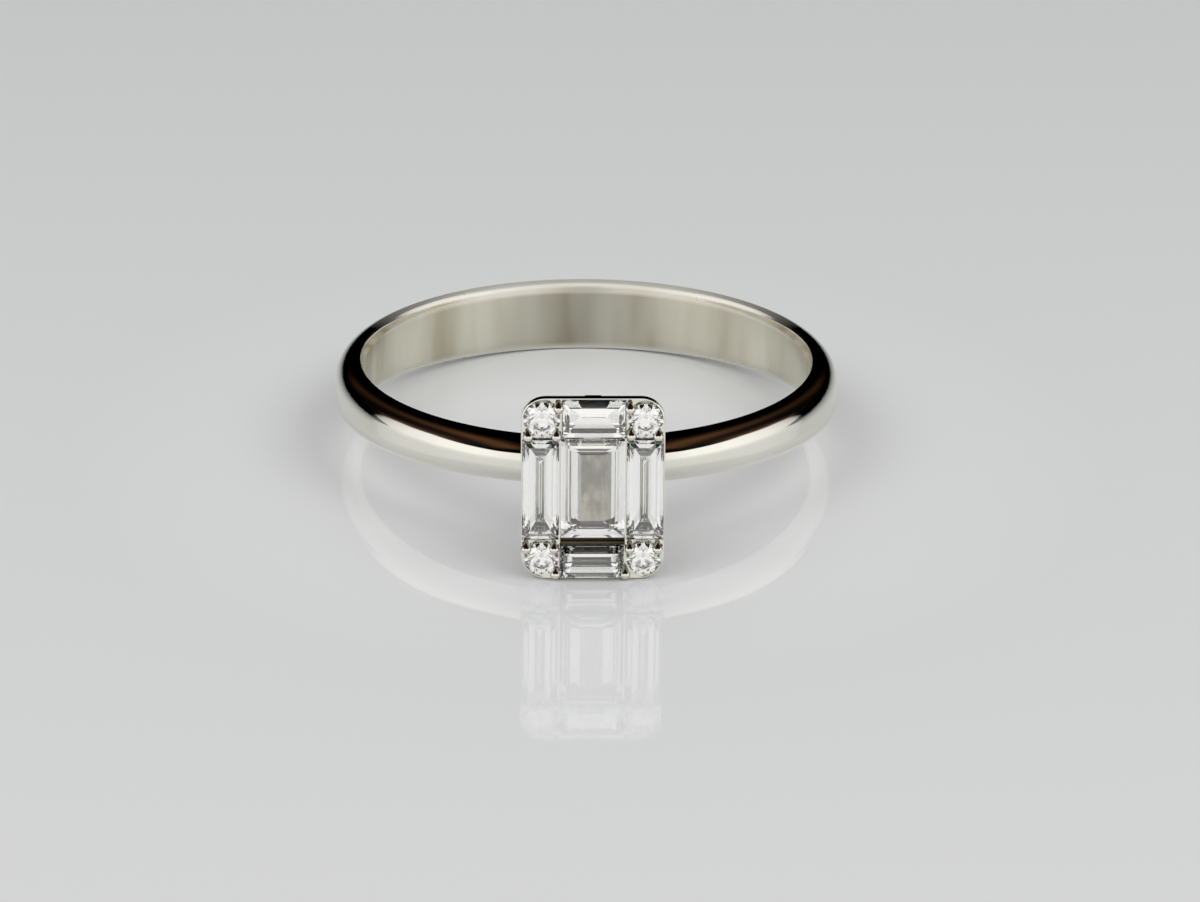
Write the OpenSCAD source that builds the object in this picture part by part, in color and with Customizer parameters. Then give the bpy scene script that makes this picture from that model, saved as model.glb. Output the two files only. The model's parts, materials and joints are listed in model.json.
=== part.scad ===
// An illusion-set solitaire ring: nine cut stones in one oblong head on a tapered D-section band.
// The ring lies on its side, on the head's lower edge and the back of the band.
// Millimetres. Z is up, the head faces -Y, and the origin is on the surface under the ring's middle.

/* [Band] */
// Finger hole's diameter
bore_d = 17.2; // [16.6:0.1:17.6]
// Radius from the ring's centre to the band's crown
crown_r = 9.65; // [9.5:0.05:9.9]
// How far the band's outside sits forward of the bore, which thickens the shoulders
crown_shift = 0.08; // [0:0.02:0.14]
// Band's width beside the head
front_w = 1.72; // [1.6:0.04:2]
// Band's width at the back
back_w = 2.84; // [2.4:0.04:3]
// How far the domed outside falls from crown to edge
dome_drop = 0.63; // [0.5:0.01:0.7]
// Radius of the softened inner edges
inner_edge_r = 0.12; // [0.08:0.01:0.16]

/* [Head] */
// Head's width across the finger's side
head_w = 5.37; // [5.37:0.01:5.5]
// Head's length along the finger
head_l = 7.14; // [7.14:0.01:7.3]
// Radius of the head's two upper corners
head_corner = 0.9; // [0.8:0.05:0.95]
// Radius of the head's two lower corners
low_corner = 1; // [0.9:0.05:1]
// Distance from the ring's centre to the top of the rim
rim_top = 12.15; // [12.05:0.05:12.3]
// Depth of the rim's upright wall, above the taper
rim_depth = 0.25; // [0.2:0.05:0.3]
// Thickness of the thin rim that stands round the stones
rim_t = 0.06; // [0.05:0.01:0.07]
// Depth of the pocket inside the rim, between the stones
pocket_depth = 0.18; // [0.1:0.02:0.2]
// Width of the basket where it meets the bore
foot_w = 2.4; // [2:0.1:2.8]
// Length of the basket where it meets the bore
foot_l = 1.72; // [1.6:0.04:2]
// Distance from the ring's centre to the foot of the gallery's windows
gallery_low = 10; // [9.95:0.05:10.1]
// Distance from the ring's centre to the top of the gallery's windows
gallery_high = 10.9; // [10.8:0.05:10.95]
// Thickness of the gallery's corner posts
post_t = 0.58; // [0.5:0.02:0.66]
// Width of the two centre struts
strut_w = 0.66; // [0.5:0.02:0.8]
// Thickness of the centre struts, measured along the head
strut_t = 0.6; // [0.5:0.02:0.7]

/* [Stones] */
// Middle stone's width
centre_w = 2.38; // [2.3:0.02:2.38]
// Middle stone's length
centre_l = 3.8; // [3.7:0.02:3.8]
// Side baguettes' width
side_w = 1.36; // [1.28:0.02:1.36]
// Side baguettes' length
side_l = 3.9; // [3.8:0.02:3.9]
// Top and bottom baguettes' length across the head
end_l = 2.4; // [2.3:0.02:2.4]
// Top baguette's width
top_w = 1.52; // [1.46:0.02:1.54]
// Bottom baguette's width
bottom_w = 1.25; // [1.19:0.02:1.25]
// Round stones' diameter, from which each corner's own stone differs a little
round_d = 1.3; // [1.22:0.02:1.3]
// Thickness of every stone's girdle
girdle_t = 0.06; // [0.04:0.01:0.08]
// Clearance between each stone and the metal
seat_gap = 0.02; // [0.02:0.005:0.03]

/* [Claws] */
// Radius of a bead claw
bead_r = 0.21; // [0.17:0.01:0.22]
// Height of a bead's centre above the rim
bead_rise = 0.06; // [0.02:0.02:0.12]

/* [Hidden] */
$fn = 96;

metal_colour = "gainsboro";
stone_colour = "aliceblue";
over = 1; // how far a cutting solid runs past what it cuts

// The band's two edges lie in planes that lean towards each other at the front.
middle_half = (front_w + back_w) / 4;
taper_angle = atan((back_w - front_w) / 4 / crown_r);
flat_half = (back_w - front_w) / 4;
dome_h = middle_half - flat_half;
dome_r = (dome_h * dome_h + dome_drop * dome_drop) / (2 * dome_drop);
edge_r = crown_r - dome_drop;
profile_in = bore_d / 2 - 2 * inner_edge_r;

// Head levels, measured outwards from the ring's centre
rim_low = rim_top - rim_depth;
girdle_low = rim_top - 2 * girdle_t / 3;
foot_level = bore_d / 2 - 0.2; // inside the bore, which trims the foot
foot_corner = 0.4;
foot_t = 0.02;
claw_foot = rim_top - 0.3;
pocket_floor = rim_top - pocket_depth;
bar_top = rim_top - 0.03; // the bar in the gap under the middle stone
bar_t = 0.15;
strut_out = head_l / 2 - 0.07; // the struts' outer line, just inside the rim
strut_bend = rim_low - 0.35; // where the struts turn in to the band

// Where the stones sit: [across the head, along the head] from its middle
centre_place = [0, -0.02];
side_place = [1.945, -0.05];
top_place = [0.035, 2.725];
bottom_place = [-0.03, -2.89];
// The round stones: [across, along, how much wider than round_d], top left and right, then bottom
round_places = [[-1.91, 2.72, 0.08], [1.96, 2.7, 0], [-1.9, -2.76, -0.03], [1.9, -2.76, -0.03]];
// The bead claws, three in each corner: top left, top right, bottom left, bottom right
claw_places = [[-2.42, 2.08], [-1.37, 2.08], [-1.3, 3.18], [1.37, 3.15], [1.42, 2.11], [2.42, 2.09],
               [-2.48, -2.35], [-1.44, -2.36], [-1.38, -3.35], [1.39, -2.36], [1.22, -3.35],
               [2.43, -2.36]];
bar_place = [0, -2.15];

// Step cuts, from the table down: each row is [cut away on each side, cut away on each end, height
// above or depth below the girdle], all as shares of half the width.
centre_crown = [[0.315, 0.311, 0.09], [0.171, 0.168, 0.051]];
centre_depth = [[0.118, 0.109, 0.117], [0.276, 0.252, 0.254],
                [0.424, 0.353, 0.323], [0.639, 0.504, 0.416]];
side_crown = [[0.343, 0.343, 0.263], [0.143, 0.143, 0.157]];
side_depth = [[0.206, 0.191, 0.359], [0.424, 0.485, 0.668],
              [0.718, 0.971, 0.969], [0.985, 1.456, 1.14]];
top_crown = [[0.366, 0.366, 0.204], [0.236, 0.236, 0.136]];
top_depth = [[0.211, 0.211, 0.362], [0.366, 0.366, 0.53],
             [0.534, 0.534, 0.701], [0.987, 0.987, 1.136]];
bottom_crown = [[0.352, 0.352, 0.374], [0.224, 0.224, 0.25]];
bottom_depth = [[0.314, 0.314, 0.584], [0.467, 0.467, 0.819],
                [0.75, 0.75, 1.094], [0.986, 0.986, 1.21]];
// Brilliant cut, as shares of the radius
brilliant_table = 0.56;
brilliant_star = 0.78;
brilliant_crown = 0.3;
brilliant_depth = 0.84;
brilliant_lower = 0.26;

// Resting pose: the rim's lower edge and the band's lower back edge both touch the surface.
edge_back_half = middle_half + tan(taper_angle) * edge_r;
tilt = atan((head_l / 2 - edge_back_half) / (rim_low + edge_r - crown_shift));
centre_z = head_l / 2 * cos(tilt) - rim_low * sin(tilt);
front_reach = (rim_top + bead_rise + bead_r) * cos(tilt) - claw_places[8][1] * sin(tilt);
back_reach = (crown_r - crown_shift) * cos(tilt) + 2 * flat_half * sin(tilt);
centre_y = (front_reach - back_reach) / 2;

// Turns and lifts the upright ring into its resting pose.
module lying() {
    translate([0, centre_y, centre_z]) rotate([-tilt, 0, 0]) children();
}

// Head frame: X across the head, Y along it, Z outwards from the ring's centre.
module head_frame() {
    rotate([90, 0, 0]) children();
}

// Half of the band's section: flat crown, domed shoulder, softened inner edge.
module half_section() {
    difference() {
        union() {
            translate([profile_in, -flat_half]) square([crown_r - profile_in, 2 * flat_half]);
            intersection() {
                translate([crown_r - dome_r, flat_half]) circle(dome_r);
                translate([profile_in, 0]) square([crown_r, middle_half]);
            }
        }
        translate([profile_in, middle_half - inner_edge_r]) difference() {
            square([3 * inner_edge_r, 2 * inner_edge_r]);
            translate([3 * inner_edge_r, 0]) circle(inner_edge_r);
        }
    }
}

// Half of the band, above the plane of its crown. The whole turn is leaned to taper the width.
module half_band() {
    intersection() {
        translate([0, -crown_shift, 0]) rotate([taper_angle, 0, 0]) rotate_extrude() half_section();
        translate([-2 * crown_r, -2 * crown_r, 0]) cube([4 * crown_r, 4 * crown_r, back_w]);
    }
}

module band() {
    half_band();
    mirror([0, 0, 1]) half_band();
}

module bore() {
    cylinder(d = bore_d, h = head_l + 2 * over, center = true);
}

// Oblong plate with round corners, one level of the head. The lower corners have their own radius.
module head_plate(w, l, high_r, low_r, thick) {
    linear_extrude(thick) {
        translate([-w / 2, low_r - l / 2]) square([w, l - high_r - low_r]);
        for (end = [[1, high_r], [-1, low_r]]) {
            y = end[0] * (l / 2 - end[1]);
            translate([0, y]) square([w - 2 * end[1], 2 * end[1]], center = true);
            for (x = [-1, 1])
                translate([x * (w / 2 - end[1]), y]) circle(end[1], $fn = 32);
        }
    }
}

// The basket's half width and half length at a distance from the ring's centre
function taper_at(level) = (level - foot_level) / (rim_low - foot_level);
function half_w_at(level) = (foot_w + (head_w - foot_w) * taper_at(level)) / 2;
function half_l_at(level) = (foot_l + (head_l - foot_l) * taper_at(level)) / 2;

// Open windows of the gallery: one across the head, and two along it beside the centre struts.
module gallery_windows() {
    low_l = half_l_at(gallery_low) - post_t;
    high_l = half_l_at(gallery_high) - post_t;
    rotate([90, 0, 90]) linear_extrude(head_w + over, center = true)
        polygon([[-low_l, gallery_low], [low_l, gallery_low],
                 [high_l, gallery_high], [-high_l, gallery_high]]);
    low_w = half_w_at(gallery_low) - post_t;
    high_w = half_w_at(gallery_high) - post_t;
    for (side = [-1, 1])
        rotate([90, 0, 0]) linear_extrude(head_l + over, center = true)
            polygon([[side * strut_w / 2, gallery_low], [side * low_w, gallery_low],
                     [side * high_w, gallery_high], [side * strut_w / 2, gallery_high]]);
}

// Basket: upright rim, then walls that taper in to the band.
module basket() {
    difference() {
        hull() {
            translate([0, 0, rim_low]) head_plate(head_w, head_l, head_corner, low_corner, rim_depth);
            translate([0, 0, foot_level]) head_plate(foot_w, foot_l, foot_corner, foot_corner, foot_t);
        }
        gallery_windows();
    }
}

// Centre strut: a bar up the middle of the gallery that stands proud of the tapered wall.
module centre_strut() {
    strut_foot = half_l_at(gallery_low);
    rotate([90, 0, 90]) linear_extrude(strut_w, center = true)
        polygon([[strut_out - strut_t, rim_low], [strut_out, rim_low], [strut_out, strut_bend],
                 [strut_foot, gallery_low], [strut_foot - strut_t, gallery_low],
                 [strut_out - 2 * strut_t, strut_bend]]);
}

// One bead claw on its post.
module claw() {
    translate([0, 0, claw_foot]) cylinder(r = 0.85 * bead_r, h = rim_top + bead_rise - claw_foot);
    translate([0, 0, rim_top + bead_rise]) sphere(bead_r, $fn = 48);
}

module claws() {
    for (place = claw_places) translate([place[0], place[1], 0]) claw();
}

// Pocket inside the thin rim, which the stones fill.
module pocket() {
    translate([0, 0, pocket_floor])
        head_plate(head_w - 2 * rim_t, head_l - 2 * rim_t, head_corner - rim_t, low_corner - rim_t,
                   over);
}

// Bar in the gap between the middle stone and the bottom baguette.
module bar() {
    translate([bar_place[0] - centre_w / 2, bar_place[1] - bar_t / 2, claw_foot])
        cube([centre_w, bar_t, bar_top - claw_foot]);
}

// Corners of one level of a step cut, anticlockwise from outside.
function step_ring(x, y, z) = [[-x, -y, z], [x, -y, z], [x, y, z], [-x, y, z]];

// Step-cut stone, long along Y, with the foot of its girdle at Z 0. A grown one cuts a seat.
module step_cut(w, l, crown_rows, depth_rows, grow = 0) {
    half = w / 2;
    x = half + grow;
    y = l / 2 + grow;
    top = girdle_t + grow;
    rings = concat(
        [for (row = crown_rows) step_ring(x - row[0] * half, y - row[1] * half, top + row[2] * half)],
        [step_ring(x, y, top), step_ring(x, y, -grow)],
        [for (row = depth_rows) step_ring(x - row[0] * half, y - row[1] * half,
                                          -grow - row[2] * half)]);
    last = 4 * (len(rings) - 1);
    walls = [for (level = [0 : len(rings) - 2], i = [0 : 3])
             let (a = 4 * level, j = (i + 1) % 4) [a + i, a + j, a + 4 + j, a + 4 + i]];
    polyhedron(
        points = [for (ring = rings) each ring],
        faces = concat([[3, 2, 1, 0]], walls, [[last, last + 1, last + 2, last + 3]]));
}

// Eight or sixteen points round a circle, starting a part of a step on.
function round_ring(count, r, z, turn) =
    [for (i = [0 : count - 1])
     let (a = 360 * (i + turn) / count) [r * cos(a), r * sin(a), z]];

// Round brilliant with the foot of its girdle at Z 0. A grown one cuts a seat.
module brilliant_cut(d, grow = 0) {
    r = d / 2 + grow;
    top = girdle_t + grow;
    crown = brilliant_crown * r + grow;
    depth = brilliant_depth * r;
    // Main facets are flat, so the points between them follow from their slope.
    star_fall = (brilliant_star * cos(22.5) - brilliant_table) / (1 - brilliant_table);
    star_z = top + crown * (1 - star_fall);
    lower_z = -grow - depth * (1 - brilliant_lower * cos(22.5));
    table = 0;
    star = 8;
    high = 16;
    low = 32;
    lower = 48;
    culet = 56;
    polyhedron(
        points = concat(
            round_ring(8, brilliant_table * r, top + crown, 0),
            round_ring(8, brilliant_star * r, star_z, 0.5),
            round_ring(16, r, top, 0),
            round_ring(16, r, -grow, 0),
            round_ring(8, brilliant_lower * r, lower_z, 0.5),
            [[0, 0, -grow - depth]]),
        faces = concat(
            [[for (i = [7 : -1 : 0]) table + i]],
            [for (i = [0 : 7]) [table + i, table + (i + 1) % 8, star + i]],
            [for (i = [0 : 7]) [table + i, star + i, high + 2 * i, star + (i + 7) % 8]],
            [for (i = [0 : 7]) [star + i, high + 2 * i + 1, high + 2 * i]],
            [for (i = [0 : 7]) [star + i, high + (2 * i + 2) % 16, high + 2 * i + 1]],
            [for (j = [0 : 15]) [high + j, high + (j + 1) % 16, low + (j + 1) % 16, low + j]],
            [for (i = [0 : 7]) [low + 2 * i, low + 2 * i + 1, lower + i]],
            [for (i = [0 : 7]) [low + 2 * i + 1, low + (2 * i + 2) % 16, lower + i]],
            [for (i = [0 : 7]) [low + 2 * i, lower + i, culet, lower + (i + 7) % 8]]));
}

// Each stone in its place on the head, or its seat where grow is above 0
module centre_gem(grow = 0) {
    translate([centre_place[0], centre_place[1], girdle_low])
        step_cut(centre_w, centre_l, centre_crown, centre_depth, grow);
}

module side_gem(side, grow = 0) {
    translate([side * side_place[0], side_place[1], girdle_low])
        step_cut(side_w, side_l, side_crown, side_depth, grow);
}

module top_gem(grow = 0) {
    translate([top_place[0], top_place[1], girdle_low]) rotate([0, 0, 90])
        step_cut(top_w, end_l, top_crown, top_depth, grow);
}

module bottom_gem(grow = 0) {
    translate([bottom_place[0], bottom_place[1], girdle_low]) rotate([0, 0, 90])
        step_cut(bottom_w, end_l, bottom_crown, bottom_depth, grow);
}

module round_gem(corner, grow = 0) {
    place = round_places[corner];
    translate([place[0], place[1], girdle_low]) brilliant_cut(round_d + place[2], grow);
}

module seats() {
    centre_gem(seat_gap);
    for (side = [-1, 1]) side_gem(side, seat_gap);
    top_gem(seat_gap);
    bottom_gem(seat_gap);
    for (corner = [0 : 3]) round_gem(corner, seat_gap);
}

module ring_mount() {
    color(metal_colour) lying() difference() {
        union() {
            difference() {
                union() {
                    band();
                    head_frame() {
                        basket();
                        centre_strut();
                        mirror([0, 1, 0]) centre_strut();
                    }
                }
                bore();
                head_frame() pocket();
            }
            head_frame() {
                claws();
                bar();
            }
        }
        head_frame() seats();
    }
}

module centre_stone() {
    color(stone_colour) lying() head_frame() centre_gem();
}

module left_baguette() {
    color(stone_colour) lying() head_frame() side_gem(-1);
}

module right_baguette() {
    color(stone_colour) lying() head_frame() side_gem(1);
}

module top_baguette() {
    color(stone_colour) lying() head_frame() top_gem();
}

module bottom_baguette() {
    color(stone_colour) lying() head_frame() bottom_gem();
}

module round_top_left() {
    color(stone_colour) lying() head_frame() round_gem(0);
}

module round_top_right() {
    color(stone_colour) lying() head_frame() round_gem(1);
}

module round_bottom_left() {
    color(stone_colour) lying() head_frame() round_gem(2);
}

module round_bottom_right() {
    color(stone_colour) lying() head_frame() round_gem(3);
}

ring_mount();
centre_stone();
left_baguette();
right_baguette();
top_baguette();
bottom_baguette();
round_top_left();
round_top_right();
round_bottom_left();
round_bottom_right();
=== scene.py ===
import json
import math

import bpy
from mathutils import Matrix, Vector


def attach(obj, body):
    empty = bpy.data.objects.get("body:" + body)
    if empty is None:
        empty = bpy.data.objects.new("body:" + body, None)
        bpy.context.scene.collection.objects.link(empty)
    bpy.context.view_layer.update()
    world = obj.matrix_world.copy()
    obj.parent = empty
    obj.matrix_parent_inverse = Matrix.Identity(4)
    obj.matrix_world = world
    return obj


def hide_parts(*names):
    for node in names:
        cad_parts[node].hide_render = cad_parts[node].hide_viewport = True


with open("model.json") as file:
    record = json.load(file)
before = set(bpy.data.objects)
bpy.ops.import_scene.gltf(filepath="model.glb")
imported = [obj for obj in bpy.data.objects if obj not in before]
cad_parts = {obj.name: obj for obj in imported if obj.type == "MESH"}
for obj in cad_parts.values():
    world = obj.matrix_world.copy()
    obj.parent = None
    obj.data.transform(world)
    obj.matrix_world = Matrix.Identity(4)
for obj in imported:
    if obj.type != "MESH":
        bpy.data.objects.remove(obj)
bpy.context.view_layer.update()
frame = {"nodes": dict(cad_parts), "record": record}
bpy.ops.object.select_all(action="DESELECT")

# Camera: it looks down at the ring from in front, a little from the left, through a long lens,
# so that the ring keeps its true proportions. The picture is rolled by half a degree. Light is
# followed far enough to find its way through the cut stones.
hole = frame["record"]["mounts"][0]
ring_centre = Vector(hole["pos_m"])
camera_distance = 0.350
camera_elevation = math.radians(24.94)
camera_turn = math.radians(-1.43)
camera_roll = math.radians(0.538)
picture_size = Vector((1200, 902))
focal_px = 9084
ring_centre_px = Vector((585.63, 384.99))

forward = Vector((0, math.cos(camera_elevation), -math.sin(camera_elevation)))
upward = Vector((0, math.sin(camera_elevation), math.cos(camera_elevation)))
rightward = Vector((1, 0, 0))
off_middle = (ring_centre_px - picture_size / 2) / focal_px
stand = (upward * off_middle.y - rightward * off_middle.x - forward) * camera_distance
facing = Matrix((rightward, upward, -forward)).transposed()
turned = Matrix.Rotation(camera_turn, 3, "Z")
camera_data = bpy.data.cameras.new("camera")
camera_data.sensor_width = 36
camera_data.lens = focal_px / picture_size.x * camera_data.sensor_width
camera_data.clip_start = 0.01
camera = bpy.data.objects.new("camera", camera_data)
camera.matrix_world = (
    Matrix.Translation(ring_centre + turned @ stand)
    @ (turned @ facing @ Matrix.Rotation(camera_roll, 3, "Z")).to_4x4()
)
bpy.context.scene.collection.objects.link(camera)
bpy.context.scene.camera = camera
bpy.context.scene.view_settings.view_transform = "Standard"
bpy.context.scene.cycles.glossy_bounces = 12
bpy.context.scene.cycles.max_bounces = 20

# Floor: a sheet of glossy white acrylic. It mirrors the ring faintly. Its white is painted darker
# towards the back, a painted falloff of light as on a bench lit from the front, and painted lighter
# round the ring, a painted pool of light where the metal throws light back on it.
floor_size = 6.0
bpy.ops.mesh.primitive_plane_add(size=floor_size)
floor = bpy.context.object
floor.name = "floor"


def finish_of(name):
    """A new material with its Principled shader, and short ways to add and join its nodes."""
    material = bpy.data.materials.new(name)
    material.use_nodes = True
    nodes = material.node_tree.nodes
    return material, nodes, material.node_tree.links, nodes["Principled BSDF"]


def place_split():
    """The place on the piece that is being finished: its Object coordinates, split in three."""
    place = nodes.new("ShaderNodeTexCoord")
    split = nodes.new("ShaderNodeSeparateXYZ")
    links.new(place.outputs["Object"], split.inputs["Vector"])
    return split.outputs


def sum_of(operation, *values):
    """A Math node of the finish being made, fed by sockets or numbers."""
    node = nodes.new("ShaderNodeMath")
    node.operation = operation
    for socket, value in zip(node.inputs, values):
        if hasattr(value, "links"):
            links.new(value, socket)
        else:
            socket.default_value = value
    return node.outputs[0]


def ramp_of(value, stops):
    """A Color Ramp node of the finish being made: its stops are (place, colour or grey)."""
    node = nodes.new("ShaderNodeValToRGB")
    links.new(value, node.inputs["Fac"])
    elements = node.color_ramp.elements
    colours = [(at, colour if isinstance(colour, tuple) else (colour,) * 3)
               for at, colour in stops]
    for element, (at, colour) in zip((elements[0], elements[1]), (colours[0], colours[-1])):
        element.position, element.color = at, (*colour, 1)
    for at, colour in colours[1:-1]:
        elements.new(at).color = (*colour, 1)
    return node.outputs["Color"]


def colours_joined(operation, *colours):
    """Two colours of the finish being made, multiplied or added."""
    node = nodes.new("ShaderNodeVectorMath")
    node.operation = operation
    for socket, colour in zip(node.inputs, colours):
        links.new(colour, socket)
    return node.outputs[0]


floor_finish, nodes, links, shader = finish_of("white acrylic")
shader.inputs["Roughness"].default_value = 0.035
shader.inputs["IOR"].default_value = 1.5
on_floor = place_split()
from_ring = sum_of("SQRT", sum_of("ADD", sum_of("MULTIPLY", on_floor["X"], on_floor["X"]),
                                  sum_of("MULTIPLY", on_floor["Y"], on_floor["Y"])))
# Painted light: the floor's white is darker towards the back and lighter round the ring
white = ramp_of(sum_of("MULTIPLY_ADD", on_floor["Y"], 5, 0.5), [
    (0.2, (0.80, 0.80, 0.80)), (0.5, (0.765, 0.77, 0.77)), (0.8, (0.70, 0.71, 0.71))])
painted_light_pool = ramp_of(sum_of("MULTIPLY", from_ring, 40), [(0.15, 1.10), (0.36, 1.09), (0.8, 1.0)])
links.new(colours_joined("MULTIPLY", white, painted_light_pool), shader.inputs["Base Color"])
floor.data.materials.append(floor_finish)

# Light: a pale room, and a soft lamp high on either side in front, which leave the soft shadows
# beside the band. The polished metal and the stones mirror the studio dome instead.
lamp_powers = {-1: 0.62, 1: 0.78}
lamp_size = 0.42
lamp_out = 0.38
lamp_front = 0.20
lamp_up = 0.50
world = bpy.data.worlds.new("pale room")
world.use_nodes = True
world.node_tree.nodes["Background"].inputs["Color"].default_value = (0.70, 0.703, 0.703, 1)
bpy.context.scene.world = world
for side, power in lamp_powers.items():
    lamp_data = bpy.data.lights.new("side lamp", "AREA")
    lamp_data.shape = "DISK"
    lamp_data.size = lamp_size
    lamp_data.energy = power
    lamp = bpy.data.objects.new("side lamp", lamp_data)
    lamp_stand = Vector((side * lamp_out, -lamp_front, lamp_up))
    aim = lamp_stand.to_track_quat("Z", "Y").to_matrix().to_4x4()
    lamp.matrix_world = Matrix.Translation(lamp_stand) @ aim
    lamp.visible_glossy = False
    lamp.visible_transmission = False
    lamp.visible_camera = False
    bpy.context.scene.collection.objects.link(lamp)

# Studio dome: what the polished surfaces mirror. A white card stands round the front and the
# sides, highest in front and dimmer at its two ends. A rail of brown wood runs overhead on either
# side, a batten of it holds the card's far ends, and all the rest of the room is dark.
dome_radius = 2.5
bpy.ops.mesh.primitive_uv_sphere_add(segments=64, ring_count=32, radius=dome_radius)
dome = bpy.context.object
dome.name = "studio_dome"
bpy.ops.object.mode_set(mode="EDIT")
bpy.ops.mesh.flip_normals()
bpy.ops.object.mode_set(mode="OBJECT")
dome_finish, nodes, links, shader = finish_of("studio dome")
nodes.remove(shader)
on_dome = place_split()
rise = sum_of(
    "DIVIDE", sum_of("ARCSINE", sum_of("DIVIDE", on_dome["Z"], dome_radius)), math.pi / 2)
frontness = sum_of("DIVIDE", on_dome["Y"], -dome_radius)
sideness = sum_of("ABSOLUTE", sum_of("DIVIDE", on_dome["X"], dome_radius))
turn = sum_of("DIVIDE", sum_of("ARCTAN2", sideness, frontness), math.pi)
# A ramp reads from 0 to 1, so a height over an edge is read with a half added to it
card_tone = ramp_of(turn, [
    (0.0, 1.0), (0.19, 1.03), (0.27, 1.18), (0.39, 1.16), (0.50, 1.02), (0.57, 0.80),
    (0.605, 0.55), (0.63, 0.0)])
card_top = ramp_of(turn, [
    (0.0, 0.47), (0.11, 0.45), (0.17, 0.35), (0.25, 0.31), (0.47, 0.355), (0.58, 0.29),
    (0.63, 0.22)])
card_foot = ramp_of(turn, [(0.0, 0.0), (0.55, 0.0), (0.63, 0.10)])
above_card = sum_of("ADD", sum_of("SUBTRACT", rise, card_top), 0.5)
card_edge = ramp_of(above_card, [
    (0.49, (1, 0.985, 0.96)), (0.503, (0.10, 0.16, 0.15)), (0.52, (0.01, 0.02, 0.018)),
    (0.54, 0.0)])
card_lift = ramp_of(sum_of("ADD", sum_of("SUBTRACT", rise, card_foot), 0.5), [
    (0.49, 0.25), (0.505, 1.0)])
card = colours_joined("MULTIPLY", colours_joined("MULTIPLY", card_tone, card_edge), card_lift)
wood = ramp_of(sideness, [
    (0.26, (0.0, 0.0, 0.0)), (0.35, (0.022, 0.012, 0.006)), (0.45, (0.10, 0.045, 0.020)),
    (0.54, (0.07, 0.033, 0.017)), (0.62, (0.016, 0.010, 0.006)), (0.70, (0.006, 0.005, 0.004))])
wood_front = ramp_of(sum_of("MULTIPLY_ADD", frontness, 0.5, 0.5), [
    (0.15, 0.25), (0.45, 1.0), (0.70, 1.0), (0.78, 0.0)])
wood_rise = ramp_of(rise, [(0.10, 0.0), (0.22, 1.0)])
wood = colours_joined("MULTIPLY", colours_joined("MULTIPLY", wood, wood_front), wood_rise)
batten = colours_joined(
    "MULTIPLY",
    ramp_of(above_card, [(0.506, 0.0), (0.516, (0.24, 0.11, 0.055)), (0.545, (0.08, 0.038, 0.02)),
                         (0.62, (0.018, 0.011, 0.007)), (0.72, 0.0)]),
    ramp_of(turn, [(0.34, 0.0), (0.45, 1.0), (0.60, 1.0), (0.66, 0.0)]))
glow = nodes.new("ShaderNodeEmission")
links.new(colours_joined("ADD", card, colours_joined("ADD", wood, batten)), glow.inputs["Color"])
links.new(glow.outputs["Emission"], nodes["Material Output"].inputs["Surface"])
dome_finish.cycles.emission_sampling = "NONE"
dome.data.materials.append(dome_finish)
dome.visible_camera = False
dome.visible_diffuse = False
dome.visible_shadow = False

# Band: one tapered hoop of white gold, domed outside and softly rounded inside, forged and
# polished. Each half of its width is spun from its outside and inside lines, bridged along the
# flat edge between them, and mirrored. Millimetres, upright: the finger's axis is Z, the head -Y.
bore_r = 8.6
crown_r = 9.65
crown_shift = 0.08
front_w = 1.72
back_w = 2.84
dome_drop = 0.63
edge_round = 0.25
edge_start = 0.04
inner_round = (0.14, 0.5)
crown_flat = 0.03
dome_steps = 14
corner_steps = 5
inner_steps = 10
band_steps = 256

middle_half = (front_w + back_w) / 4
flat_half = (back_w - front_w) / 4
taper = math.atan(flat_half / crown_r)
crown_half = flat_half + crown_flat
dome_h = middle_half - crown_half
dome_r = (dome_h ** 2 + dome_drop ** 2) / (2 * dome_drop)
finger_axis = Vector(hole["axis"])
lying = (
    Matrix.Translation(ring_centre)
    @ Matrix.Rotation(-math.atan2(finger_axis.y, finger_axis.z), 4, "X")
    @ Matrix.Scale(0.001, 4)
)
upright = lying.inverted()


def draw_line(name, points):
    """A new piece in edit mode: one line of edges through the points, all selected."""
    bpy.ops.mesh.primitive_plane_add(size=0.001, location=points[0])
    piece = bpy.context.object
    piece.name = name
    bpy.ops.object.transform_apply(location=True, rotation=True, scale=True)
    bpy.ops.object.mode_set(mode="EDIT")
    bpy.ops.mesh.select_mode(type="VERT")
    bpy.ops.mesh.select_all(action="SELECT")
    bpy.ops.mesh.merge(type="CENTER")
    for here, there in zip(points, points[1:]):
        bpy.ops.mesh.extrude_region_move(TRANSFORM_OT_translate={"value": there - here})
    bpy.ops.mesh.select_all(action="SELECT")
    return piece


def pick(piece, wanted):
    """Selects the piece's vertices whose place is wanted, and all edges and faces they make."""
    bpy.ops.mesh.select_mode(type="VERT")
    bpy.ops.mesh.select_all(action="DESELECT")
    bpy.ops.object.mode_set(mode="OBJECT")
    for vertex in piece.data.vertices:
        vertex.select = wanted(vertex.co)
    bpy.ops.object.mode_set(mode="EDIT")
    bpy.ops.mesh.select_mode(type="EDGE")


def lean(angle, centre):
    """Leans what is selected about X. With no window this operator turns the other way."""
    bpy.ops.transform.rotate(value=-angle, orient_axis="X", center_override=centre)


def spin_round(piece):
    """Spins the selected line once round the finger's axis and closes the seam."""
    bpy.ops.mesh.spin(steps=band_steps, angle=2 * math.pi, center=(0, 0, 0), axis=(0, 0, 1))
    bpy.ops.mesh.select_all(action="SELECT")
    bpy.ops.mesh.remove_doubles(threshold=1e-5)


def face_outwards():
    """Turns every face of the closed piece being edited outwards."""
    bpy.ops.mesh.select_all(action="SELECT")
    bpy.ops.mesh.normals_make_consistent(inside=False)
    bpy.ops.object.mode_set(mode="OBJECT")


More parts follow.
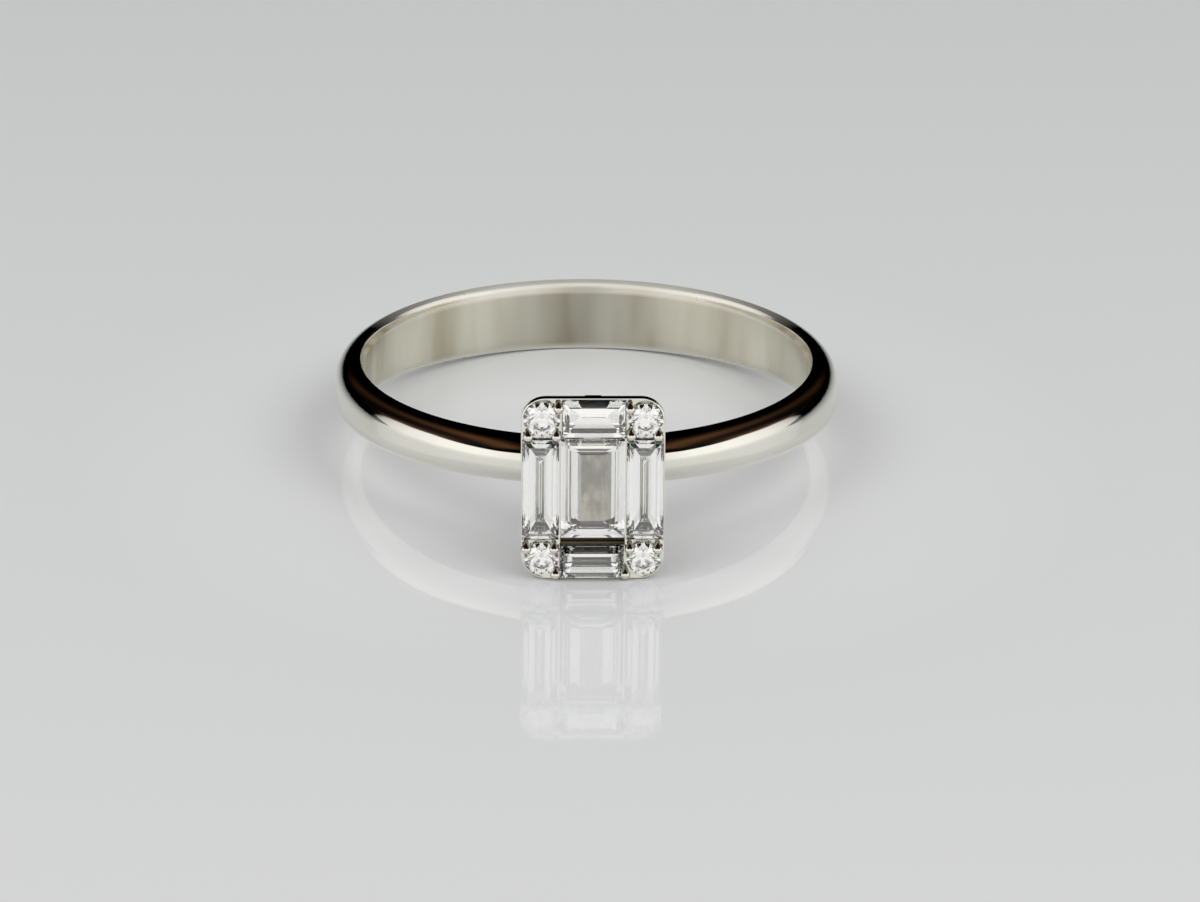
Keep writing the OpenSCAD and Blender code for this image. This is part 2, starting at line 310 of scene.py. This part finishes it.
# Its outside line: the crown, the dome, a soft corner and the start of the flat edge
corner_rise = dome_h - edge_round
corner_out = math.sqrt((dome_r - edge_round) ** 2 - corner_rise ** 2)
dome_end = math.atan2(corner_rise, corner_out)
dome_in = crown_r - dome_r
outside_line = [Vector((crown_r, 0, -crown_half))]
for i in range(dome_steps + 1):
    angle = dome_end * i / dome_steps
    outside_line.append(Vector((
        dome_in + dome_r * math.cos(angle), 0, crown_half + dome_r * math.sin(angle))))
for i in range(1, corner_steps + 1):
    angle = dome_end + (math.pi / 2 - dome_end) * i / corner_steps
    outside_line.append(Vector((
        dome_in + corner_out + edge_round * math.cos(angle), 0,
        crown_half + corner_rise + edge_round * math.sin(angle))))
outside_line.append(outside_line[-1] - Vector((edge_start, 0, 0)))
band = draw_line("band", outside_line)
spin_round(band)
lean(taper, (0, 0, 0))
bpy.ops.transform.translate(value=(0, -crown_shift, 0))
bpy.ops.mesh.bisect(plane_co=(0, 0, 0), plane_no=(0, 0, 1), clear_inner=True)
bpy.ops.object.mode_set(mode="OBJECT")

# Its inside line: the straight wall of the finger hole, then the soft rounding of its edge
inside_line = [Vector((bore_r, 0, 0))]
for i in range(inner_steps + 1):
    angle = math.pi / 2 * i / inner_steps
    inside_line.append(Vector((
        bore_r + inner_round[0] * (1 - math.cos(angle)), 0,
        middle_half - inner_round[1] * (1 - math.sin(angle)))))
inside_line.append(inside_line[-1] + Vector((edge_start, 0, 0)))
inside = draw_line("band_inside", inside_line)
spin_round(inside)
bpy.ops.object.mode_set(mode="OBJECT")
levels = sorted({round(vertex.co.z, 4) for vertex in inside.data.vertices})[1:]
rows = [[v.index for v in inside.data.vertices if abs(v.co.z - level) < 1e-3] for level in levels]
for level, row in zip(levels, rows):
    bpy.ops.object.mode_set(mode="EDIT")
    bpy.ops.mesh.select_mode(type="VERT")
    bpy.ops.mesh.select_all(action="DESELECT")
    bpy.ops.object.mode_set(mode="OBJECT")
    for index in row:
        inside.data.vertices[index].select = True
    bpy.ops.object.mode_set(mode="EDIT")
    lean(taper, (0, 0, level))
    bpy.ops.object.mode_set(mode="OBJECT")

band.select_set(True)
bpy.context.view_layer.objects.active = band
bpy.ops.object.join()
bpy.ops.object.mode_set(mode="EDIT")
bpy.ops.mesh.select_mode(type="EDGE")
bpy.ops.mesh.select_all(action="DESELECT")
bpy.ops.mesh.select_non_manifold(
    extend=False, use_wire=False, use_boundary=True, use_multi_face=False,
    use_non_contiguous=False, use_verts=False)
bpy.ops.object.mode_set(mode="OBJECT")
# Only the two upper rims are bridged, and not the two on the mirror's plane
for edge in band.data.edges:
    if edge.select and band.data.vertices[edge.vertices[0]].co.z < 0.1:
        edge.select = False
bpy.ops.object.mode_set(mode="EDIT")
bpy.ops.mesh.bridge_edge_loops()
bpy.ops.object.mode_set(mode="OBJECT")
bpy.ops.object.modifier_add(type="MIRROR")
mirror = band.modifiers[-1]
mirror.use_axis = (False, False, True)
mirror.use_mirror_merge = True
mirror.merge_threshold = 1e-4
bpy.ops.object.modifier_apply(modifier=mirror.name)
bpy.ops.object.mode_set(mode="EDIT")
face_outwards()
bpy.ops.object.shade_smooth()

# Its metal: white gold, bright and a little warm. It is mirror-polished in front, and softer
# towards the back, where its edges are left matt. The inside of the finger hole is duller up to
# its polished lip, with patches of wear, and its middle is painted darker as painted shade. The
# groove that holds the bar is rougher, and painted dark as painted shade.
groove_along = -2.105
groove_half_w = 0.165
groove_half_long = 1.21
groove_back = -11.5
white_gold, nodes, links, shader = finish_of("polished white gold")


def marks_of(source, stretch, scale, detail):
    """Soft marks on the piece being finished, drawn out by a stretch for each axis."""
    drawn = nodes.new("ShaderNodeMapping")
    drawn.inputs["Scale"].default_value = stretch
    links.new(source, drawn.inputs["Vector"])
    noise = nodes.new("ShaderNodeTexNoise")
    noise.inputs["Scale"].default_value = scale
    noise.inputs["Detail"].default_value = detail
    links.new(drawn.outputs["Vector"], noise.inputs["Vector"])
    return noise.outputs["Fac"]


def mixed(share, under, above):
    """One colour laid over another by a share."""
    node = nodes.new("ShaderNodeMix")
    node.data_type = "RGBA"
    links.new(share, node.inputs["Factor"])
    links.new(under, node.inputs["A"])
    links.new(above, node.inputs["B"])
    return node.outputs["Result"]


def upright_reading():
    """The place on the piece being finished, upright and in millimetres: whole, then split."""
    mapping = nodes.new("ShaderNodeMapping")
    mapping.vector_type = "TEXTURE"
    mapping.inputs["Location"].default_value = ring_centre
    mapping.inputs["Rotation"].default_value = (-math.atan2(finger_axis.y, finger_axis.z), 0, 0)
    mapping.inputs["Scale"].default_value = (0.001, 0.001, 0.001)
    links.new(nodes.new("ShaderNodeTexCoord").outputs["Object"], mapping.inputs["Vector"])
    split = nodes.new("ShaderNodeSeparateXYZ")
    links.new(mapping.outputs["Vector"], split.inputs["Vector"])
    return mapping.outputs["Vector"], *split.outputs


# Where on the ring: in the hole, under its lip, on an edge, at the back, in the bar's groove
place, across, behind_axis, along = upright_reading()
from_axis = sum_of("SQRT", sum_of("ADD", sum_of("MULTIPLY", across, across),
                                  sum_of("MULTIPLY", behind_axis, behind_axis)))
below_edge = sum_of("SUBTRACT", sum_of("MULTIPLY_ADD", behind_axis, math.tan(taper), middle_half),
                    sum_of("ABSOLUTE", along))
in_hole = ramp_of(sum_of("MULTIPLY_ADD", from_axis, 0.5, -4.0), [(0.305, 1.0), (0.33, 0.0)])
under_lip = ramp_of(
    sum_of("ADD", below_edge, sum_of("LESS_THAN", along, 0)), [(0.36, 0.0), (0.52, 1.0)])
on_edge = ramp_of(below_edge, [(0.08, 1.0), (0.16, 0.0)])
behind = ramp_of(sum_of("MULTIPLY_ADD", behind_axis, 0.05, 0.5), [(0.66, 0.0), (0.90, 1.0)])
in_groove = sum_of("MULTIPLY", sum_of("COMPARE", along, groove_along, groove_half_w),
                   sum_of("MULTIPLY", sum_of("COMPARE", across, 0, groove_half_long),
                          sum_of("LESS_THAN", behind_axis, groove_back)))

# Its tones and its gloss there
wear = marks_of(place, (0.34, 0.34, 0.07), 1.0, 3)
hand_waves = marks_of(place, (1, 1, 1), 0.35, 2)
outer_tone = ramp_of(hand_waves, [(0.3, (0.785, 0.775, 0.705)), (0.7, (0.815, 0.805, 0.745))])
# The hole's tone: patches of wear, times a painted shade that darkens the middle of its wall
hole_wear_and_painted_shade = colours_joined(
    "MULTIPLY",
    ramp_of(wear, [(0.36, (0.50, 0.445, 0.33)), (0.45, (0.66, 0.635, 0.53)),
                   (0.62, (0.80, 0.785, 0.675))]),
    ramp_of(sum_of("MULTIPLY_ADD", across, 0.05, 0.5), [
        (0.28, 1.0), (0.40, 0.83), (0.51, 0.72), (0.60, 0.85), (0.70, 1.0)]))
lip_tone = ramp_of(wear, [(0.36, (0.86, 0.79, 0.70)), (0.62, (0.95, 0.92, 0.85))])
# Painted shade: the bar and the pocket round it are painted dark brown
groove_painted_shade = ramp_of(hand_waves, [(0.3, (0.05, 0.04, 0.025)), (0.7, (0.13, 0.105, 0.07))])
inner_tone = mixed(under_lip, lip_tone, hole_wear_and_painted_shade)
links.new(mixed(in_groove, mixed(in_hole, outer_tone, inner_tone), groove_painted_shade),
          shader.inputs["Base Color"])
links.new(sum_of("MULTIPLY_ADD", sum_of("MULTIPLY", behind, on_edge), -0.6, 1.0),
          shader.inputs["Metallic"])
dulling = sum_of("ADD", sum_of("MULTIPLY", behind, 0.25),
                 sum_of("ADD", sum_of("MULTIPLY", sum_of("MULTIPLY", in_hole, under_lip), 0.14),
                        sum_of("MULTIPLY", in_groove, 0.25)))
links.new(sum_of("ADD", sum_of("MULTIPLY_ADD", wear, 0.03, 0.04), dulling),
          shader.inputs["Roughness"])
waviness = nodes.new("ShaderNodeBump")
waviness.inputs["Strength"].default_value = 0.25
waviness.inputs["Distance"].default_value = 0.00001
links.new(hand_waves, waviness.inputs["Height"])
links.new(waviness.outputs["Normal"], shader.inputs["Normal"])


def take(piece):
    """Makes the piece the active one, and the only one selected."""
    bpy.ops.object.select_all(action="DESELECT")
    piece.select_set(True)
    bpy.context.view_layer.objects.active = piece


def set_in_place(piece, finish, stands_for):
    """Lays a piece that was made upright, in millimetres, where it rests, and finishes it."""
    take(piece)
    piece.matrix_world = lying
    bpy.ops.object.transform_apply(location=True, rotation=True, scale=True)
    piece.data.materials.clear()
    piece.data.materials.append(finish)
    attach(piece, "root")
    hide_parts(stands_for)
    bpy.ops.object.select_all(action="DESELECT")


set_in_place(band, white_gold, "ring_mount")

# Basket: the oblong head under the stones, cast in white gold and soldered over the band. A thin
# rim stands round a pocket for the stones, on walls that taper in with an open gallery through
# them. The seats are cut to the stones, and those in the middle and at both ends are left dull
# and painted dark as painted shade.
head_w = 5.37
head_l = 7.14
high_corner = 0.9
low_corner = 1.0
corner_segments = 12
rim_top = 12.15
rim_low = 11.90
rim_t = 0.06
rim_round = 0.045
pocket_floor = 11.97
foot_w = 2.4
foot_l = 1.72
foot_level = 8.4
gallery_low = 10.0
gallery_high = 10.9
post_t = 0.58
strut_w = 0.66
edge_soft = 0.035
foot_trim = 0.1
bore_gap = 0.02
seat_gap = 0.02
smooth_under = math.radians(30)
margin = 0.01
dull_and_shaded_middle = 1.25
dull_and_shaded_ends = 2.03
dark_ends = 1.95


def walls_at(level):
    """Half width and half length of the tapered walls at a distance from the ring's centre."""
    share = (level - foot_level) / (rim_low - foot_level)
    return (foot_w + (head_w - foot_w) * share) / 2, (foot_l + (head_l - foot_l) * share) / 2


def cut_away(piece, cutter):
    """Cuts one piece with another, which is then thrown away."""
    take(piece)
    bpy.ops.object.modifier_add(type="BOOLEAN")
    cut = piece.modifiers[-1]
    cut.operation = "DIFFERENCE"
    cut.solver = "EXACT"
    cut.object = cutter
    bpy.ops.object.modifier_apply(modifier=cut.name)
    bpy.data.objects.remove(cutter)


def block(low, high):
    """A plain block between two corners, to cut with."""
    low, high = Vector(low), Vector(high)
    bpy.ops.mesh.primitive_cube_add(size=1, location=(low + high) / 2)
    cutter = bpy.context.object
    cutter.scale = high - low
    bpy.ops.object.transform_apply(location=True, rotation=True, scale=True)
    bpy.ops.object.mode_set(mode="EDIT")
    return cutter


def soften_edges(piece, width, segments, from_angle):
    """Rounds the edges of the active piece that turn by more than an angle."""
    bpy.ops.object.modifier_add(type="BEVEL")
    soften = piece.modifiers[-1]
    soften.width = width
    soften.segments = segments
    soften.limit_method = "ANGLE"
    soften.angle_limit = math.radians(from_angle)
    bpy.ops.object.modifier_apply(modifier=soften.name)


def oblong(name, level, inset):
    """A flat oblong with round corners, a level of the head, in edit mode with all selected."""
    bpy.ops.mesh.primitive_plane_add(size=1, location=(0, -level, 0), rotation=(math.pi / 2, 0, 0))
    piece = bpy.context.object
    piece.name = name
    piece.scale = (head_w - 2 * inset, head_l - 2 * inset, 1)
    bpy.ops.object.transform_apply(location=True, rotation=True, scale=True)
    bpy.ops.object.mode_set(mode="EDIT")
    for end, corner in ((1, high_corner), (-1, low_corner)):
        pick(piece, lambda place: place.z * end > head_l / 2 - inset - 0.001)
        bpy.ops.mesh.bevel(
            offset=corner - inset, segments=corner_segments, affect="VERTICES")
    bpy.ops.mesh.select_all(action="SELECT")
    return piece


basket = oblong("basket", rim_top, 0)
bpy.ops.mesh.extrude_region_move(TRANSFORM_OT_translate={"value": (0, rim_top - rim_low, 0)})
bpy.ops.mesh.extrude_region_move(TRANSFORM_OT_translate={"value": (0, rim_low - foot_level, 0)})
bpy.ops.transform.resize(
    value=(foot_w / head_w, 1, foot_l / head_l), center_override=(0, -foot_level, 0))
face_outwards()
bpy.ops.object.mode_set(mode="EDIT")
pick(basket, lambda place: place.y < -rim_top + margin)
bpy.ops.mesh.bevel(offset=rim_round, segments=3, affect="EDGES")
bpy.ops.object.mode_set(mode="OBJECT")

low_w, low_l = walls_at(gallery_low)
high_w, high_l = walls_at(gallery_high)
gallery = block(
    (-head_w, -gallery_high, -(high_l - post_t)), (head_w, -gallery_low, high_l - post_t))
pick(gallery, lambda place: place.y > -gallery_low - margin)
bpy.ops.transform.resize(
    value=(1, 1, (low_l - post_t) / (high_l - post_t)), center_override=(0, -gallery_low, 0))
bpy.ops.object.mode_set(mode="OBJECT")
cut_away(basket, gallery)
for side in (-1, 1):
    window = block((strut_w / 2, -gallery_high, -head_l), (high_w - post_t, -gallery_low, head_l))
    pick(window, lambda place: (
        place.y > -gallery_low - margin and place.x > strut_w / 2 + margin))
    bpy.ops.transform.translate(value=(low_w - high_w, 0, 0))
    if side < 0:
        bpy.ops.mesh.select_all(action="SELECT")
        bpy.ops.transform.resize(value=(-1, 1, 1), center_override=(0, 0, 0))
        bpy.ops.mesh.flip_normals()
    bpy.ops.object.mode_set(mode="OBJECT")
    cut_away(basket, window)
soften_edges(basket, edge_soft, 2, 35)
bpy.ops.object.mode_set(mode="EDIT")
bpy.ops.mesh.select_all(action="SELECT")
bpy.ops.mesh.bisect(
    plane_co=(0, -foot_level - foot_trim, 0), plane_no=(0, 1, 0), use_fill=True,
    clear_outer=True)
bpy.ops.object.mode_set(mode="OBJECT")
bpy.ops.mesh.primitive_cylinder_add(
    vertices=band_steps, radius=bore_r + bore_gap, depth=2 * head_l)
cut_away(basket, bpy.context.object)
pocket = oblong("pocket", pocket_floor, rim_t)
bpy.ops.mesh.extrude_region_move(TRANSFORM_OT_translate={"value": (0, -1, 0)})
face_outwards()
cut_away(basket, pocket)


def seat_of(name):
    """What a stone's seat takes away: the stone, upright and grown by the seat's gap."""
    stone = frame["nodes"][name]
    cutter = stone.copy()
    cutter.data = stone.data.copy()
    bpy.context.scene.collection.objects.link(cutter)
    take(cutter)
    cutter.matrix_world = upright
    bpy.ops.object.transform_apply(location=True, rotation=True, scale=True)
    bpy.ops.object.mode_set(mode="EDIT")
    bpy.ops.mesh.select_all(action="SELECT")
    bpy.ops.mesh.remove_doubles(threshold=1e-4)
    bpy.ops.transform.shrink_fatten(value=seat_gap, use_even_offset=True)
    bpy.ops.object.mode_set(mode="OBJECT")
    return cutter


stone_names = sorted(name for name in frame["nodes"] if name != "ring_mount")
for name in stone_names:
    cut_away(basket, seat_of(name))
bpy.ops.object.shade_smooth_by_angle(angle=smooth_under)
set_in_place(basket, white_gold, "ring_mount")

burr_and_painted_shade, nodes, links, shader = finish_of("white gold dull from the burr")
shader.inputs["Metallic"].default_value = 1
shader.inputs["Roughness"].default_value = 0.34
place, *_, along = upright_reading()
# Painted shade: the seats are painted dark olive in the middle, darker towards the top end, and
# near black at the ends
shade = sum_of("MULTIPLY_ADD", along, -0.08, marks_of(place, (1.6, 1.6, 0.9), 1.6, 3))
middle_seat_painted_shade = ramp_of(shade, [(0.35, (0.19, 0.17, 0.105)), (0.5, (0.36, 0.325, 0.215)),
                               (0.65, (0.62, 0.58, 0.44))])
end_seat_painted_shade = ramp_of(shade, [(0.3, (0.05, 0.048, 0.042)), (0.7, (0.14, 0.137, 0.125))])
at_ends = sum_of("GREATER_THAN", sum_of("ABSOLUTE", along), dark_ends)
links.new(mixed(at_ends, middle_seat_painted_shade, end_seat_painted_shade), shader.inputs["Base Color"])
basket.data.materials.append(burr_and_painted_shade)

# The burr leaves flat faces below the pocket's floor; those in the middle and at the ends are dull,
# and painted dark as painted shade
for face in basket.data.polygons:
    middle = upright @ face.center
    if -rim_top + 0.02 < middle.y < -gallery_high - 0.05:
        if abs(middle.x) < head_w / 2 - 0.03 and abs(middle.z) < head_l / 2 - 0.03:
            face.use_smooth = False
            dull = abs(middle.x) < dull_and_shaded_middle or abs(middle.z) > dull_and_shaded_ends
            if dull and middle.y > -pocket_floor + 0.005:
                face.material_index = 1

# Centre struts: two bars of white gold, one up each end of the gallery, that stand proud of the
# tapered wall and turn in to the band. Soldered in place.
strut_t = 0.6
strut_out = 3.50
strut_bend = 11.55
strut_soft = 0.07
for end, name in ((1, "centre_strut_top"), (-1, "centre_strut_bottom")):
    corners = [
        (strut_out - strut_t, rim_low), (strut_out, rim_low), (strut_out, strut_bend),
        (low_l, gallery_low), (low_l - strut_t, gallery_low), (strut_out - 2 * strut_t, strut_bend)]
    strut = draw_line(name, [Vector((-strut_w / 2, -w, end * v)) for v, w in corners])
    bpy.ops.mesh.edge_face_add()
    bpy.ops.mesh.extrude_region_move(TRANSFORM_OT_translate={"value": (strut_w, 0, 0)})
    face_outwards()
    soften_edges(strut, strut_soft, 3, 30)
    for stone in ("top_baguette", "bottom_baguette"):
        cut_away(strut, seat_of(stone))
    bpy.ops.object.shade_smooth_by_angle(angle=smooth_under)
    set_in_place(strut, white_gold, "ring_mount")

# Bar: a half-round wire of white gold across the gap between the middle stone and the bottom
# baguette, soldered into the pocket. It is painted dark there as painted shade, and left rougher.
bar_long = 2.38
bar_t = 0.15
bar_round = bar_t * 0.46
bar_top = 12.12
bar_sunk = 0.06
bar_along = -2.15
bar = block(
    (-bar_long / 2, -bar_top, bar_along - bar_t / 2),
    (bar_long / 2, -pocket_floor + bar_sunk, bar_along + bar_t / 2))
bar.name = "bar"
pick(bar, lambda place: place.y < -bar_top + margin)
bpy.ops.mesh.bevel(offset=bar_round, segments=6, affect="EDGES")
face_outwards()
for name in ("centre_stone", "bottom_baguette"):
    cut_away(bar, seat_of(name))
bpy.ops.object.shade_smooth_by_angle(angle=smooth_under)
set_in_place(bar, white_gold, "ring_mount")

# Bead claws: twelve small drops of white gold raised round the stones, three in each corner of
# the head. Each is a round bead below and runs to a point above, and its back reaches down
# between the stones as its post.
bead_r = 0.205
bead_stretch = 1.35
bead_level = 12.20
bead_rings = 24
point_power = 1.4
post_from = bead_r * 0.6
post_reach = 0.16
claw_smooth_under = math.radians(24)
claw_places = {
    "top_left": ((-2.42, 2.08), (-1.37, 2.08), (-1.30, 3.18)),
    "top_right": ((1.37, 3.15), (1.42, 2.11), (2.42, 2.09)),
    "bottom_left": ((-2.48, -2.35), (-1.44, -2.36), (-1.38, -3.35)),
    "bottom_right": ((1.39, -2.36), (1.22, -3.35), (2.43, -2.36)),
}
bpy.ops.mesh.primitive_uv_sphere_add(segments=32, ring_count=bead_rings, radius=bead_r)
drop = bpy.context.object
bpy.ops.object.mode_set(mode="EDIT")
for row in range(bead_rings // 2 + 1, bead_rings):
    height = -math.cos(math.pi * row / bead_rings)
    pick(drop, lambda place: abs(place.z - bead_r * height) < 0.001)
    narrow = (1 - height ** point_power) / math.sqrt(1 - height ** 2)
    bpy.ops.transform.resize(value=(narrow, narrow, 1), center_override=(0, 0, 0))
pick(drop, lambda place: place.z > 0.001)
bpy.ops.transform.resize(value=(1, 1, bead_stretch), center_override=(0, 0, 0))
pick(drop, lambda place: place.y > post_from)
bpy.ops.transform.translate(value=(0, post_reach, 0))
bpy.ops.object.mode_set(mode="OBJECT")
for corner, places in claw_places.items():
    bpy.ops.object.select_all(action="DESELECT")
    beads = []
    for across_head, along_head in places:
        bead = drop.copy()
        bead.data = drop.data.copy()
        bpy.context.scene.collection.objects.link(bead)
        bead.location = (across_head, -bead_level, along_head)
        bead.select_set(True)
        beads.append(bead)
    bpy.context.view_layer.objects.active = beads[0]
    bpy.ops.object.join()
    claws = bpy.context.object
    claws.name = "claws_" + corner
    bpy.ops.object.transform_apply(location=True, rotation=True, scale=True)
    for name in stone_names:
        cut_away(claws, seat_of(name))
    bpy.ops.object.shade_smooth_by_angle(angle=claw_smooth_under)
    set_in_place(claws, white_gold, "ring_mount")
bpy.data.objects.remove(drop)

# Stones: nine diamonds, clear and nearly colourless, cut with flat polished facets. The faint
# growth zones that every natural diamond has tint them a very little.
diamond, nodes, links, shader = finish_of("diamond")
shader.inputs["Transmission Weight"].default_value = 1
shader.inputs["IOR"].default_value = 2.42
shader.inputs["Roughness"].default_value = 0
growth = marks_of(nodes.new("ShaderNodeTexCoord").outputs["Object"], (1, 1, 1), 700, 2)
links.new(ramp_of(growth, [(0.3, (0.965, 0.965, 0.95)), (0.7, (0.99, 0.99, 0.985))]),
          shader.inputs["Base Color"])
for name in stone_names:
    frame["nodes"][name].data.materials.clear()
    frame["nodes"][name].data.materials.append(diamond)
